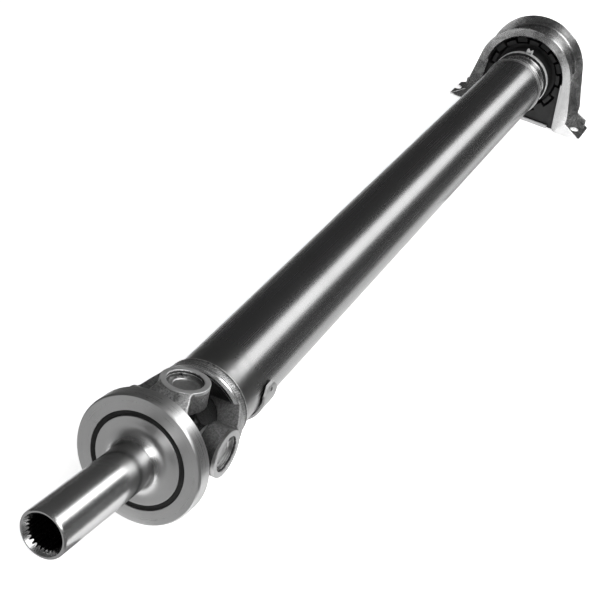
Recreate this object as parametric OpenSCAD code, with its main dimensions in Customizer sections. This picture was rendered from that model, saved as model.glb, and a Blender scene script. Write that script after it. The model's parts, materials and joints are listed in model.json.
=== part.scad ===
// Front section of a two-piece propeller shaft: a splined slip yoke with a ring damper, a cross and
// cup universal joint, a welded tube, and a rubber mounted centre bearing in a stamped bracket.
// +X runs forward along the shaft, +Y to the right and +Z up. The origin is midway between the
// feet of the bracket, on their lower face. All sizes are in millimetres.

/* [Layout] */
// Height of the shaft axis above the mounting face
axis_height = 60.4; // [60:0.1:66]
// Distance from the middle of the bracket to the centre of the universal joint
joint_distance = 870; // [500:5:1400]
// Angle by which the slip yoke points up from the tube
joint_bend = 10.4; // [0:0.1:15]
// Angle by which the shaft is turned in its bearing
shaft_turn = 2.1; // [0:0.1:30]

/* [Tube] */
// Outside diameter of the tube
tube_d = 69.85; // [69.2:0.05:70.5]
// Wall thickness of the tube
tube_wall = 2.1; // [1.6:0.1:3]
// Distance from the middle of the bracket to the rear end of the tube
tube_rear = 71; // [71:1:90]
// Distance from the joint centre back to the front end of the tube
tube_setback = 46; // [45:0.5:50]

/* [Universal joint] */
// Distance over the outer faces of a pair of ears
ear_span = 91.2; // [90.4:0.2:94]
// Clear gap between a pair of ears
ear_gap = 54; // [52:1:55]
// Diameter of the machined ring on an ear
boss_d = 39.4; // [38:0.2:41]
// Diameter of a bearing cup
cup_d = 29; // [28.6:0.1:29.2]
// Depth of a cup face below the ear face
cup_recess = 4.2; // [3.8:0.1:4.8]
// Diameter of a trunnion of the cross
trunnion_d = 18.8; // [18.4:0.1:19]
// Number of needle rollers in a cup
needle_count = 24; // [12:1:26]

/* [Slip yoke] */
// Outside diameter of the polished sleeve
sleeve_d = 37; // [36:0.5:40]
// Distance from the joint centre to the open end of the sleeve
sleeve_reach = 169.7; // [140:1:220]
// Number of spline teeth in the sleeve
bore_teeth = 28; // [20:1:32]
// Diameter over the tips of the teeth in the sleeve
bore_minor_d = 26.4; // [24:0.2:27.4]
// Diameter at the roots of the teeth in the sleeve
bore_major_d = 29; // [28:0.2:30]
// Radius of the flare where the sleeve meets the hub face
hub_flare = 12; // [8:0.5:14]

/* [Damper] */
// Outside diameter of the hub inside the rubber ring
hub_d = 71.4; // [70:0.2:72]
// Outside diameter of the rubber ring
damper_rubber_d = 79.8; // [78:0.2:84]
// Outside diameter of the inertia ring
inertia_d = 105.6; // [98:0.2:112]
// Distance from the joint centre to the front face of the hub
damper_front = 55.6; // [53:0.2:58]
// Thickness of the inertia ring
inertia_depth = 15.6; // [12:0.2:16]

/* [Bearing and stub] */
// Bore diameter of the ball bearing
bearing_bore = 35; // [34:0.5:35]
// Outside diameter of the ball bearing
bearing_od = 62; // [62:0.2:62.4]
// Width of the ball bearing
bearing_width = 14; // [13:0.5:15]
// Number of balls
ball_count = 9; // [7:1:11]
// Length of the rear spline
stub_spline_length = 56; // [40:1:80]
// Number of teeth on the rear spline
stub_teeth = 29; // [20:1:32]

/* [Rubber cushion] */
// Number of blocks round the cushion
block_count = 9; // [7:1:10]
// Thickness of the web that joins the blocks to the hub
web_depth = 8; // [5:1:14]
// Width of the slots in the rubber
slot_width = 3; // [2.4:0.1:3.4]

/* [Bracket] */
// Inner radius of the arch
arch_r = 50.3; // [50.3:0.1:53]
// Thickness of the stamped sheet
sheet = 2.5; // [2:0.1:3]
// Depth of the bracket along the shaft
bracket_depth = 52; // [50:1:60]
// Outer radius of the two rims of the arch
rim_r = 62; // [60:0.5:64]
// Outward lean of the legs in degrees
leg_lean = 5; // [3:0.5:6]
// Distance from the shaft axis to the outer end of the right foot
right_reach = 93; // [90:0.5:100]
// Distance from the shaft axis to the outer end of the left foot
left_reach = 89.4; // [87:0.2:96]
// Diameter of the bolt hole in the right foot
bolt_d = 11; // [9:0.5:12]
// Width of the open notch in the left foot
notch_width = 13; // [10:0.5:14]
// Distance from the shaft axis to the bolt hole
bolt_offset = 80; // [79:0.5:82]

/* [Hidden] */
$fn = 96;
eps = 0.01;
big = 200;

steel = [0.62, 0.62, 0.63];
dark_steel = [0.25, 0.25, 0.26];
cast = [0.42, 0.42, 0.42];
bright = [0.8, 0.8, 0.82];
rubber = [0.06, 0.06, 0.065];

tube_r = tube_d / 2;
tube_bore_r = tube_r - tube_wall;
tube_front = joint_distance - tube_setback;

ear_face = ear_span / 2;
boss_r = boss_d / 2;
cup_r = cup_d / 2;
cup_hole_r = cup_r + 0.02;
cup_face = ear_face - cup_recess;
cup_floor = 2.5;
cup_mouth = 22.6;
cup_cavity_end = cup_face - cup_floor;
trunnion_r = trunnion_d / 2;
needle_d = 2.45;
running_gap = 0.05;
needle_pitch_r = trunnion_r + running_gap + needle_d / 2;
cup_cavity_r = needle_pitch_r + needle_d / 2 + running_gap;
washer_depth = 0.8;
trunnion_end = cup_cavity_end - washer_depth - 0.05;
grease_hole_r = 2.2;
fitting_seat = 20.4;
fitting_thread_r = 3.2;
fitting_hex_r = 4;
shoulder_r = 13;
shoulder_end = 19.6;
ring_groove_r = cup_r + 0.8;
ring_depth = 1.3;
ring_gap = 0.1;

hub_r = hub_d / 2;
damper_rubber_r = damper_rubber_d / 2;
inertia_r = inertia_d / 2;
inertia_rear = damper_front - inertia_depth;
inertia_bevel = 1.6;
sleeve_r = sleeve_d / 2;
throat_depth = 33;
plug_r = 16;

collar_r = 38.6;
collar_front = 33.5;
collar_rear = 39.5;
weld_r = 37.7;

bearing_r = bearing_od / 2;
bearing_bore_r = bearing_bore / 2;
ball_r = 4;
ball_pitch_r = (bearing_r + bearing_bore_r) / 2;
race_shoulder = 2.5;
shell_wall = 1.6;
shell_r = bearing_r + shell_wall;
shell_front = 44;
shell_rear = -15;
snout_r = shell_r + 2.6;
seal_lip_r = 20.3;

cushion_half = 21;
hub_rubber_half = 17;
block_r = 42.8;
lug_r = 46.3;
block_pitch = 360 / block_count;
block_angle = block_pitch * 0.4;
block_phase = 148.8;

rim_lean = 11.5;
leg_y = 70.4;
bend_r = 4;
flange_fillet = 3;
foot_top = sheet - axis_height;
notch_y = left_reach - 0.6;
// How far a line starts inside the arc that it runs off.
bite = 0.1;
foot_base = -axis_height - 1;
arch_z = arch_r * sin(leg_lean);
inner_y = (arch_r - bite) * cos(leg_lean);
inner_z = (arch_r - bite) * sin(leg_lean);
outer_y = (arch_r + sheet - bite) * cos(leg_lean);
outer_z = (arch_r + sheet - bite) * sin(leg_lean);
bend_z = foot_top + bend_r - bite;
leg_end_z = bend_z - (sheet + bend_r) * sin(leg_lean);
leg_end_y = inner_y + (inner_z - leg_end_z) * tan(leg_lean);
bend_y = leg_end_y + (sheet + bend_r) * cos(leg_lean) - bite;
strap_half_width = 47.8;
strap_height = 5.2;
strap_sheet = 2.2;

// ---- frames ----

// Turns children modelled along +Z so that they lie on the shaft axis and face forward.
module on_axis() {
    translate([0, 0, axis_height])
        rotate([0, 90, 0])
            children();
}

// Moves children to the joint centre, in line with the tube and turned with it.
module at_joint() {
    translate([joint_distance, 0, axis_height])
        rotate([shaft_turn, 0, 0])
            children();
}

// Moves children to the joint centre, in line with the slip yoke.
module at_bent_joint() {
    at_joint()
        rotate([0, -joint_bend, 0])
            children();
}

// Repeats children on both ears of a pair that stand along Z.
module both_ends() {
    for (side = [0, 180])
        rotate([side, 0, 0])
            children();
}

// Turns a pair of ears from Z to Y.
module sideways() {
    rotate([90, 0, 0])
        children();
}

// Extrudes a shape drawn in Y and Z along X, centred on the given station.
module across(station, depth) {
    translate([station - depth / 2, 0, axis_height])
        rotate([90, 0, 90])
            linear_extrude(depth)
                children();
}

// ---- bracket shapes, drawn in Y and Z about the shaft axis ----

// Everything inside the inner face of the arch and the legs. A straight side starts a little inside
// the arc that it runs off, so the two cross cleanly.
module inside_2d() {
    circle(arch_r);
    polygon([[-inner_y, inner_z], [inner_y, inner_z], [leg_end_y, leg_end_z], [leg_end_y, -big],
        [-leg_end_y, -big], [-leg_end_y, leg_end_z]]);
}

// The corner under the bend between the right leg and its foot.
module below_bend_2d() {
    difference() {
        translate([leg_end_y - 2, -big])
            square([bend_y - leg_end_y + 2, big + leg_end_z]);
        translate([bend_y, bend_z])
            circle(bend_r + sheet);
    }
}

// Everything that is cut out from under the bracket.
module hollow_2d() {
    inside_2d();
    below_bend_2d();
    mirror([1, 0])
        below_bend_2d();
}

// Right leg, bend and foot, filled in as far as the middle.
module leg_2d(reach) {
    leg_foot_y = outer_y + (outer_z - foot_base) * tan(leg_lean);
    polygon([[0, outer_z], [outer_y, outer_z], [leg_foot_y, foot_base], [0, foot_base]]);
    translate([0, foot_base])
        square([reach + 2, foot_top - foot_base]);
    difference() {
        polygon([[bend_y, bend_z], [bend_y, foot_base], [leg_end_y + 1, foot_base],
            [leg_end_y + 1, leg_end_z]]);
        translate([bend_y, bend_z])
            circle(bend_r);
    }
}

// Outline of the bent sheet between the two rims, filled in.
module web_2d() {
    circle(arch_r + sheet);
    leg_2d(right_reach);
    mirror([1, 0])
        leg_2d(left_reach);
}

// Right half of a rim, filled in. It flares out to a tip of the given height over the end of the foot.
module rim_side_2d(rim, leg, tip, reach) {
    start_y = (rim - bite) * cos(rim_lean);
    start_z = (rim - bite) * sin(rim_lean);
    polygon([[0, start_z], [start_y, start_z], [leg, -36], [leg, -45], [reach - 3, foot_top + tip],
        [reach, foot_top], [reach + 2, foot_top], [reach + 2, foot_base], [0, foot_base]]);
}

// Outline of one upright rim, filled in.
module rim_2d(rim, leg, tip) {
    circle(rim);
    rim_side_2d(rim, leg, tip, right_reach);
    mirror([1, 0])
        rim_side_2d(rim, leg, tip, left_reach);
}

// Plan of both feet with clipped corners, drawn in X and Y.
module feet_plan_2d() {
    clip = 8;
    half = bracket_depth / 2;
    polygon([[-half, -left_reach + clip], [-half + clip, -left_reach], [half - clip / 4, -left_reach],
        [half, -left_reach + clip], [half, right_reach - clip], [half - clip / 2, right_reach],
        [-half + clip, right_reach], [-half, right_reach - clip]]);
}

module carrier_bracket() color(steel) {
    rim_station = (bracket_depth - sheet) / 2;
    difference() {
        intersection() {
            union() {
                across(0, 2 * rim_station)
                    web_2d();
                across(rim_station, sheet)
                    rim_2d(rim_r, leg_y, 1);
                across(-rim_station, sheet)
                    rim_2d(rim_r + 1.6, leg_y + 3.4, 5.5);
                rim_fillets(rim_station);
            }
            linear_extrude(big)
                feet_plan_2d();
        }
        across(0, big)
            hollow_2d();
        translate([0, bolt_offset, -1])
            cylinder(r = bolt_d / 2, h = 2 * sheet);
        translate([-notch_width / 2, -big - notch_y, -1])
            cube([notch_width, big, 2 * sheet]);
        translate([0, -notch_y, -1])
            cylinder(r = notch_width / 2, h = 2 * sheet);
        lip_bevels();
    }
}

// Inside corner between the sheet and each rim, round the arch only.
module rim_fillets(rim_station) {
    for (side = [0, 1])
        mirror([side, 0, 0])
            on_axis()
                translate([0, 0, rim_station - sheet / 2 - flange_fillet])
                    intersection() {
                        rotate_extrude()
                            difference() {
                                translate([arch_r + sheet - 1, 0])
                                    square(flange_fillet + 1);
                                translate([arch_r + sheet + flange_fillet - bite, bite])
                                    circle(flange_fillet);
                            }
                        translate([-big, -big, -1])
                            cube([big - arch_z, 2 * big, 2 * flange_fillet]);
                    }
}

// Bevel on the two inner edges of the arch.
module lip_bevels() {
    bevel = 1.6;
    for (side = [0, 1])
        mirror([side, 0, 0])
            on_axis()
                translate([0, 0, bracket_depth / 2 - bevel])
                    intersection() {
                        cylinder(r1 = arch_r - eps, r2 = arch_r + bevel + eps, h = bevel + eps);
                        translate([-big, -big, -1])
                            cube([big - arch_z, 2 * big, 2 * bevel + 2]);
                    }
}

// ---- rubber cushion ----

module sector_2d(outer, width) {
    polygon([[0, 0], [outer, -outer * tan(width / 2)], [outer, outer * tan(width / 2)]]);
}

// Meandering slot between the blocks of the outer ring and the lugs of the hub.
module slot_2d() {
    difference() {
        circle(lug_r + slot_width);
        circle(block_r - slot_width);
        for (i = [0 : block_count - 1])
            rotate(block_phase + i * block_pitch) {
                difference() {
                    sector_2d(big, block_angle);
                    circle(block_r);
                }
                rotate(block_pitch / 2)
                    intersection() {
                        sector_2d(big, block_angle);
                        circle(lug_r);
                    }
            }
    }
}

module cushion_2d() {
    difference() {
        inside_2d();
        translate([-strap_half_width, -big - axis_height + strap_height])
            square([2 * strap_half_width, big]);
        translate([-big, -big - axis_height + 1.2])
            square([2 * big, big]);
    }
}

module rubber_cushion() color(rubber) {
    difference() {
        union() {
            difference() {
                across(0, 2 * cushion_half)
                    cushion_2d();
                for (side = [-1, 1]) {
                    pocket(side, web_depth / 2)
                        slot_2d();
                    pocket(side, hub_rubber_half)
                        circle(block_r - slot_width / 2);
                }
            }
            translate([shell_rear + 1, 0, 0])
                on_axis()
                    cylinder(r = snout_r, h = shell_front - shell_rear - 2);
        }
        on_axis()
            translate([0, 0, -big])
                cylinder(r = shell_r, h = 2 * big);
    }
}

// Cuts a shape out of one side of the cushion, from the given distance off its middle outwards.
module pocket(side, start) {
    depth = cushion_half + 1 - start;
    across(side * (start + depth / 2), depth)
        children();
}

module base_strap() color(bright) {
    half = cushion_half + strap_sheet + 0.2;
    translate([-half, -strap_half_width, 0])
        difference() {
            cube([2 * half, 2 * strap_half_width, strap_height]);
            translate([strap_sheet, -1, strap_sheet])
                cube([2 * (half - strap_sheet), 2 * strap_half_width + 2, strap_height]);
        }
}

// Band round the snout of the cushion, with its crimped ear on top.
module snout_clamp() color(bright) {
    band = 0.9;
    width = 5;
    ear_width = 7.5;
    ear_height = 6;
    translate([shell_front - 6.5, 0, 0])
        on_axis() {
            difference() {
                cylinder(r = snout_r + band, h = width);
                translate([0, 0, -1])
                    cylinder(r = snout_r, h = width + 2);
            }
            rotate(176)
                translate([snout_r + band / 2, -ear_width / 2, 0])
                    difference() {
                        cube([ear_height, ear_width, width]);
                        translate([1.2, 1.1, -1])
                            cube([ear_height - 4.4, ear_width - 2.2, width + 2]);
                        translate([ear_height, ear_width / 2, -1])
                            cylinder(r = 1.9, h = width + 2);
                    }
        }
}

// ---- centre bearing ----

module bearing_shell() color(dark_steel) on_axis()
    rotate_extrude()
        polygon([[bearing_r, bearing_width / 2], [bearing_r, shell_front], [shell_r, shell_front],
            [shell_r, shell_rear], [bearing_r - 2.4, shell_rear], [bearing_r - 2.4, shell_rear + 1.4],
            [bearing_r, shell_rear + 1.4]]);

module race_groove_2d() {
    translate([ball_pitch_r, 0])
        circle(ball_r + running_gap);
}

module bearing_outer_race() color(steel) on_axis()
    rotate_extrude()
        difference() {
            translate([ball_pitch_r + race_shoulder, -bearing_width / 2])
                square([bearing_r - ball_pitch_r - race_shoulder, bearing_width]);
            race_groove_2d();
        }

module bearing_inner_race() color(steel) on_axis()
    rotate_extrude()
        difference() {
            translate([bearing_bore_r, -bearing_width / 2])
                square([ball_pitch_r - race_shoulder - bearing_bore_r, bearing_width]);
            race_groove_2d();
        }

module bearing_balls() color(bright) on_axis()
    for (i = [0 : ball_count - 1])
        rotate(i * 360 / ball_count)
            translate([ball_pitch_r, 0, 0])
                sphere(ball_r);

module bearing_cage() color([0.7, 0.6, 0.3]) on_axis()
    difference() {
        cylinder(r = ball_pitch_r + 1.3, h = 9.6, center = true);
        cylinder(r = ball_pitch_r - 1.3, h = 12, center = true);
        for (i = [0 : ball_count - 1])
            rotate(i * 360 / ball_count)
                rotate([0, 90, 0])
                    cylinder(r = ball_r + 0.12, h = big);
    }

// Lip seal pressed into the bearing shell.
module lip_seal_2d(lip) {
    polygon([[bearing_r, 0], [bearing_r, 4], [bearing_r - 1.5, 4], [bearing_r - 1.5, 1.4],
        [lip + 2.4, 1.4], [lip + 1.2, 3], [lip, 3], [lip, 1.6], [lip + 1, 0]]);
}

module front_seal() color(rubber) on_axis()
    translate([0, 0, bearing_width / 2 + 0.4])
        rotate_extrude()
            lip_seal_2d(seal_lip_r);

module rear_seal() color(rubber) on_axis()
    translate([0, 0, -bearing_width / 2 - 0.4])
        mirror([0, 0, 1])
            rotate_extrude()
                lip_seal_2d(seal_lip_r);

// ---- stub shaft ----

module teeth_2d(count, minor, major) {
    width = PI * (minor + major) / count / 2;
    for (i = [0 : count - 1])
        rotate(i * 360 / count)
            translate([minor - 1, -width / 2])
                square([major - minor + 1, width]);
}

module stub_shaft() color(steel) on_axis() {
    seat = bearing_bore_r;
    shoulder = 20;
    spline_r = seat - 0.3;
    spline_start = -20;
    spline_end = spline_start - stub_spline_length;
    ring_rear = tube_rear - 6.6;
    bevel = 1.5;
    difference() {
        union() {
            rotate_extrude()
                polygon([[0, ring_rear + 5], [26, ring_rear + 5], [28, ring_rear + 8],
                    [28, tube_rear + 20], [tube_bore_r - 1.5, tube_rear + 20],
                    [tube_bore_r, tube_rear + 18.5], [tube_bore_r, tube_rear], [36.8, tube_rear],
                    [36.8, ring_rear + 0.5], [36.3, ring_rear], [33.5, ring_rear], [32, ring_rear - 2],
                    [25, ring_rear - 9], [22, ring_rear - 14], [shoulder, ring_rear - 20],
                    [shoulder, bearing_width / 2], [seat, bearing_width / 2], [seat, spline_start + 2],
                    [spline_r - 1.8, spline_start + 0.2], [spline_r - 1.8, spline_end], [12, spline_end - 1],
                    [12, spline_end - 13], [11, spline_end - 14], [0, spline_end - 14]]);
            translate([0, 0, spline_end])
                linear_extrude(stub_spline_length)
                    teeth_2d(stub_teeth, spline_r - 1.7, spline_r);
        }
        translate([0, 0, -bearing_width / 2 - 7.5])
            difference() {
                cylinder(r = seat + 1, h = 1.4);
                translate([0, 0, -1])
                    cylinder(r = seat - 1.2, h = 4);
            }
        translate([0, 0, spline_end - eps])
            difference() {
                cylinder(r = seat + 1, h = bevel);
                translate([0, 0, -eps])
                    cylinder(r1 = spline_r - bevel, r2 = spline_r + 2 * eps, h = bevel + 2 * eps);
            }
    }
}

// Ring in the groove behind the bearing.
module stub_circlip() color(bright) on_axis()
    translate([0, 0, -bearing_width / 2 - 7.4])
        difference() {
            cylinder(r = bearing_bore_r + 1.2, h = 1.2);
            translate([0, 0, -1])
                cylinder(r = bearing_bore_r - 1.15, h = 4);
            translate([0, -3, -1])
                cube([big, 6, 4]);
        }

// Dished disc inside the mouth of the shell.
module front_slinger() color(dark_steel) on_axis()
    translate([0, 0, 33])
        rotate_extrude()
            polygon([[20, 0], [20, 5], [21.5, 5], [21.5, 2], [27.5, 2], [29, 5], [30, 5], [28.6, 0]]);

// Dished disc behind the shell, between the circlip and the bearing.
module rear_slinger() color(dark_steel) on_axis()
    translate([0, 0, -bearing_width / 2])
        rotate_extrude()
            polygon([[bearing_bore_r, 0], [bearing_bore_r, -6.1], [19, -6.1], [19, -10.6],
                [25, -10.6], [29, -11.8], [29, -10.4], [25, -9.2], [20.2, -9.2], [20.2, 0]]);

// ---- tube ----

module main_tube() color(dark_steel) on_axis()
    difference() {
        translate([0, 0, tube_rear])
            cylinder(r = tube_r, h = tube_front - tube_rear, $fn = 180);
        cylinder(r = tube_bore_r, h = 2 * joint_distance, $fn = 180);
    }

// Fillet of weld between the tube and the ring of the stub shaft.
module rear_weld() color(dark_steel) on_axis()
    translate([0, 0, tube_rear])
        rotate_extrude()
            difference() {
                translate([tube_r, 0])
                    square([1.6, 2.4]);
                translate([tube_r + 2.6, 3.4])
                    circle(2.6);
            }

// Rounded bead of weld between the tube and the collar of the yoke.
module front_weld() color(dark_steel) at_joint()
    rotate([0, -90, 0])
        rotate_extrude()
            difference() {
                polygon([[tube_bore_r, collar_rear], [weld_r - 1, collar_rear], [weld_r - 0.2, collar_rear + 1],
                    [weld_r - 0.2, tube_setback - 1], [weld_r, tube_setback - 0.8],
                    [weld_r, tube_setback], [tube_bore_r, tube_setback]]);
                for (i = [0 : 1])
                    translate([weld_r + 1.2, collar_rear + 2 + i * 2.1])
                        circle(1.6);
            }

// Curved plate spot welded to the tube.
module balance_weight() color(steel) {
    setback = 84.5;
    middle = -24;
    half_arc = 36;
    spot = 29;
    inner = tube_r + 1.3;
    plate = 2;
    half_width = 10.5;
    corner = 6;
    pad_r = 3.2;
    weld_sink = 0.3;
    dimple_r = 1.9;
    dimple_depth = 1.2;
    chord = (inner + plate) * sin(half_arc);
    at_joint()
        translate([-setback, 0, 0])
            rotate([middle, 0, 0])
                difference() {
                    union() {
                        intersection() {
                            rotate([0, 90, 0])
                                difference() {
                                    cylinder(r = inner + plate, h = 2 * half_width, center = true);
                                    cylinder(r = inner, h = 3 * half_width, center = true);
                                }
                            rotate([-90, 0, 0])
                                linear_extrude(big)
                                    polygon([[-half_width, -chord + corner], [-half_width + corner, -chord],
                                        [half_width - corner, -chord], [half_width, -chord + corner],
                                        [half_width, chord - corner], [half_width - corner, chord],
                                        [-half_width + corner, chord], [-half_width, chord - corner]]);
                        }
                        for (turn = [-spot, spot])
                            rotate([turn - 90, 0, 0])
                                translate([0, 0, tube_r - weld_sink])
                                    cylinder(r = pad_r, h = inner - tube_r + weld_sink + eps);
                    }
                    for (turn = [-spot, spot])
                        rotate([turn - 90, 0, 0])
                            translate([0, 0, inner + plate - dimple_depth])
                                cylinder(r = dimple_r, h = big);
                }
}

// ---- yokes ----

// Outline of a pair of ears seen from the side, open towards -X.
module ears_side_2d(reach, root) {
    arm = ear_face - 2.2;
    difference() {
        both_ends_2d()
            polygon([[-boss_r, 0], [-boss_r, ear_face - 1], [-boss_r + 1, ear_face], [boss_r - 1, ear_face],
                [boss_r, ear_face - 1], [boss_r + 1.5, arm], [reach - 3, root + 1.5], [reach, root],
                [reach, 0]]);
        translate([-big, -ear_gap / 2])
            square([big + throat_depth - ear_gap / 2, ear_gap]);
        translate([throat_depth - ear_gap / 2, 0])
            circle(ear_gap / 2);
    }
}

module both_ends_2d() {
    children();
    mirror([0, 1])
        children();
}

// A pair of ears along Z on a root of the given radius, open towards -X.
module ears(reach, root, neck, root_width) {
    difference() {
        intersection() {
            rotate([90, 0, 0])
                linear_extrude(2 * big, center = true)
                    ears_side_2d(reach, root);
            linear_extrude(2 * big, center = true)
                union() {
                    circle(boss_r);
                    both_ends_2d()
                        polygon([[0, 0], [0, neck], [boss_r - 3, neck], [reach - 4, root_width - 3],
                            [reach, root_width], [reach, 0]]);
                }
            rotate([0, 90, 0])
                translate([0, 0, -boss_r])
                    rotate_extrude()
                        polygon([[0, 0], [ear_face + 1.8, 0], [ear_face + 4.2, boss_r - 9],
                            [ear_face + 4.2, boss_r + 12], [ear_face + 0.5, 2 * boss_r - 2],
                            [root + 2, reach + boss_r - 3], [root, reach + boss_r], [0, reach + boss_r]]);
        }
        both_ends()
            cylinder(r = cup_hole_r, h = big);
        both_ends()
            translate([0, 0, cup_face + ring_gap / 2])
                cylinder(r = ring_groove_r, h = ring_depth + ring_gap);
    }
}

module tube_yoke() color(cast) at_joint() {
    difference() {
        union() {
            mirror([1, 0, 0])
                sideways()
                    ears(collar_rear - 1, collar_r - 0.6, 13, 22);
            rotate([0, -90, 0])
                rotate_extrude()
                    polygon([[0, throat_depth], [30, throat_depth], [collar_r - 3, collar_front],
                        [collar_r, collar_front + 1.8], [collar_r, collar_rear - 1.6],
                        [collar_r - 1, collar_rear - 0.6], [tube_bore_r, collar_rear - 0.6],
                        [tube_bore_r, tube_setback + 14], [tube_bore_r - 2, tube_setback + 16],
                        [27, tube_setback + 16], [24, collar_rear + 4], [0, collar_rear + 4]]);
        }
        rotate([0, -90, 0])
            translate([0, 0, collar_front + 3.2])
                difference() {
                    cylinder(r = collar_r + 1, h = 1);
                    translate([0, 0, -1])
                        cylinder(r = collar_r - 1, h = 3);
                }
    }
}

module bore_2d() {
    circle(bore_minor_d / 2);
    teeth_2d(bore_teeth, bore_minor_d / 2, bore_major_d / 2);
}

module slip_yoke() color(steel) at_bent_joint() {
    mouth_bevel = 4.6;
    mouth_r = 16.2;
    end_bevel = 1.2;
    difference() {
        union() {
            ears(inertia_rear + 2, 33, 15, 27);
            rotate([0, 90, 0])
                rotate_extrude()
                    difference() {
                        polygon([[0, throat_depth], [29, throat_depth], [32.5, inertia_rear - 2],
                            [hub_r - 0.6, inertia_rear], [hub_r, inertia_rear + 0.6],
                            [hub_r, damper_front - 0.5], [hub_r - 0.5, damper_front],
                            [sleeve_r + hub_flare, damper_front], [sleeve_r, damper_front],
                            [sleeve_r, damper_front + hub_flare],
                            [sleeve_r, sleeve_reach - end_bevel], [sleeve_r - end_bevel, sleeve_reach],
                            [0, sleeve_reach]]);
                    }
            rotate([0, 90, 0])
                rotate_extrude()
                    difference() {
                        translate([sleeve_r - eps, damper_front - eps])
                            square([hub_flare, hub_flare]);
                        translate([sleeve_r + hub_flare, damper_front + hub_flare])
                            circle(hub_flare);
                    }
        }
        rotate([0, 90, 0]) {
            translate([0, 0, throat_depth - 1])
                cylinder(r = bore_major_d / 2 + 0.6, h = damper_front + 20 - throat_depth);
            translate([0, 0, throat_depth - 1])
                cylinder(r = plug_r, h = 5);
            linear_extrude(big)
                bore_2d();
            translate([0, 0, sleeve_reach - mouth_bevel])
                cylinder(r1 = bore_minor_d / 2 - eps, r2 = mouth_r + eps, h = mouth_bevel + eps);
        }
    }
}

// Domed disc that closes the bore behind the spline.
module bore_plug() color(bright) at_bent_joint()
    rotate([0, 90, 0])
        rotate_extrude()
            polygon([[0, throat_depth + 0.6], [plug_r - 4, throat_depth + 1.4], [plug_r, throat_depth + 2.4],
                [plug_r, throat_depth + 4], [plug_r - 4, throat_depth + 3], [0, throat_depth + 2.2]]);

module damper_rubber() color(rubber) at_bent_joint()
    rotate([0, 90, 0])
        rotate_extrude()
            polygon([[hub_r, inertia_rear + 1.4], [damper_rubber_r, inertia_rear + 1.4],
                [damper_rubber_r, damper_front - 1.2], [damper_rubber_r - 1, damper_front - 1.8],
                [hub_r + 1, damper_front - 1.8], [hub_r, damper_front - 1.2]]);

module inertia_ring() color(steel) at_bent_joint()
    rotate([0, 90, 0])
        rotate_extrude($fn = 144)
            polygon([[damper_rubber_r, inertia_rear + 0.6], [damper_rubber_r + 0.6, inertia_rear],
                [inertia_r - inertia_bevel, inertia_rear], [inertia_r, inertia_rear + inertia_bevel],
                [inertia_r, damper_front - 2], [inertia_r - 1, damper_front],
                [damper_rubber_r + 0.6, damper_front], [damper_rubber_r, damper_front - 0.6]]);

// ---- cross and cups ----

module cup_pair() {
    both_ends()
        rotate_extrude()
            polygon([[0, cup_cavity_end], [cup_cavity_r, cup_cavity_end], [cup_cavity_r, cup_mouth],
                [cup_r - 0.5, cup_mouth], [cup_r, cup_mouth + 0.5], [cup_r, cup_face - 0.8],
                [cup_r - 0.8, cup_face], [9.6, cup_face], [8.8, cup_face - 0.8], [0, cup_face - 0.8]]);
}

// Open ring with two eyes, in the groove of each ear.
module circlip_pair() {
    both_ends()
        translate([0, 0, cup_face + ring_gap])
            linear_extrude(ring_depth - ring_gap)
                difference() {
                    union() {
                        difference() {
                            circle(ring_groove_r - 0.1);
                            circle(cup_r - 2.2);
                        }
                        for (side = [-1, 1])
                            rotate(225 + side * 14)
                                translate([cup_r - 2.6, 0])
                                    circle(2.3);
                    }
                    for (side = [-1, 1])
                        rotate(225 + side * 14)
                            translate([cup_r - 2.6, 0])
                                circle(0.8);
                    rotate(225)
                        translate([0, -1.6])
                            square([big, 3.2]);
                }
}

module needle_pair() {
    both_ends()
        for (i = [0 : needle_count - 1])
            rotate(i * 360 / needle_count)
                translate([needle_pitch_r, 0, cup_mouth + 1.6])
                    cylinder(r = needle_d / 2, h = cup_cavity_end - cup_mouth - 2.2, $fn = 24);
}

module side_cups() color(bright) at_joint()
    sideways()
        cup_pair();

module side_circlips() color(bright) at_joint()
    sideways()
        circlip_pair();

module side_needles() color(bright) at_joint()
    sideways()
        needle_pair();

module end_cups() color(bright) at_bent_joint()
    cup_pair();

module end_circlips() color(bright) at_bent_joint()
    circlip_pair();

module end_needles() color(bright) at_bent_joint()
    needle_pair();

// Repeats children on all four trunnions.
module four_ways() {
    both_ends()
        children();
    sideways()
        both_ends()
            children();
}

module joint_spider() color(steel) at_bent_joint()
    difference() {
        union() {
            four_ways()
                rotate_extrude()
                    polygon([[0, 0], [shoulder_r + 2, 0], [shoulder_r + 2, 13], [shoulder_r, 15.5],
                        [shoulder_r, shoulder_end], [trunnion_r + 0.6, shoulder_end],
                        [trunnion_r, shoulder_end + 0.6], [trunnion_r, trunnion_end - 0.8],
                        [trunnion_r - 0.8, trunnion_end], [0, trunnion_end]]);
            sphere(17);
        }
        four_ways()
            translate([0, 0, 14])
                cylinder(r = grease_hole_r, h = big);
        rotate([135, 0, 0]) {
            cylinder(r = fitting_thread_r, h = fitting_seat + 4);
            translate([0, 0, fitting_seat])
                cylinder(r = fitting_hex_r + 0.6, h = 10);
        }
    }

module thrust_washers() color([0.85, 0.83, 0.75]) at_bent_joint()
    four_ways()
        translate([0, 0, trunnion_end])
            difference() {
                cylinder(r = trunnion_r - 0.6, h = washer_depth);
                translate([0, 0, -1])
                    cylinder(r = grease_hole_r, h = 4);
            }

module trunnion_seals() color(rubber) at_bent_joint()
    four_ways()
        rotate_extrude()
            polygon([[trunnion_r, shoulder_end + 0.9], [trunnion_r, cup_mouth - 0.4],
                [shoulder_r - 1, cup_mouth - 0.4], [shoulder_r - 0.4, cup_mouth - 0.8],
                [shoulder_r - 0.4, shoulder_end + 0.1], [trunnion_r + 0.9, shoulder_end + 0.1]]);

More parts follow.
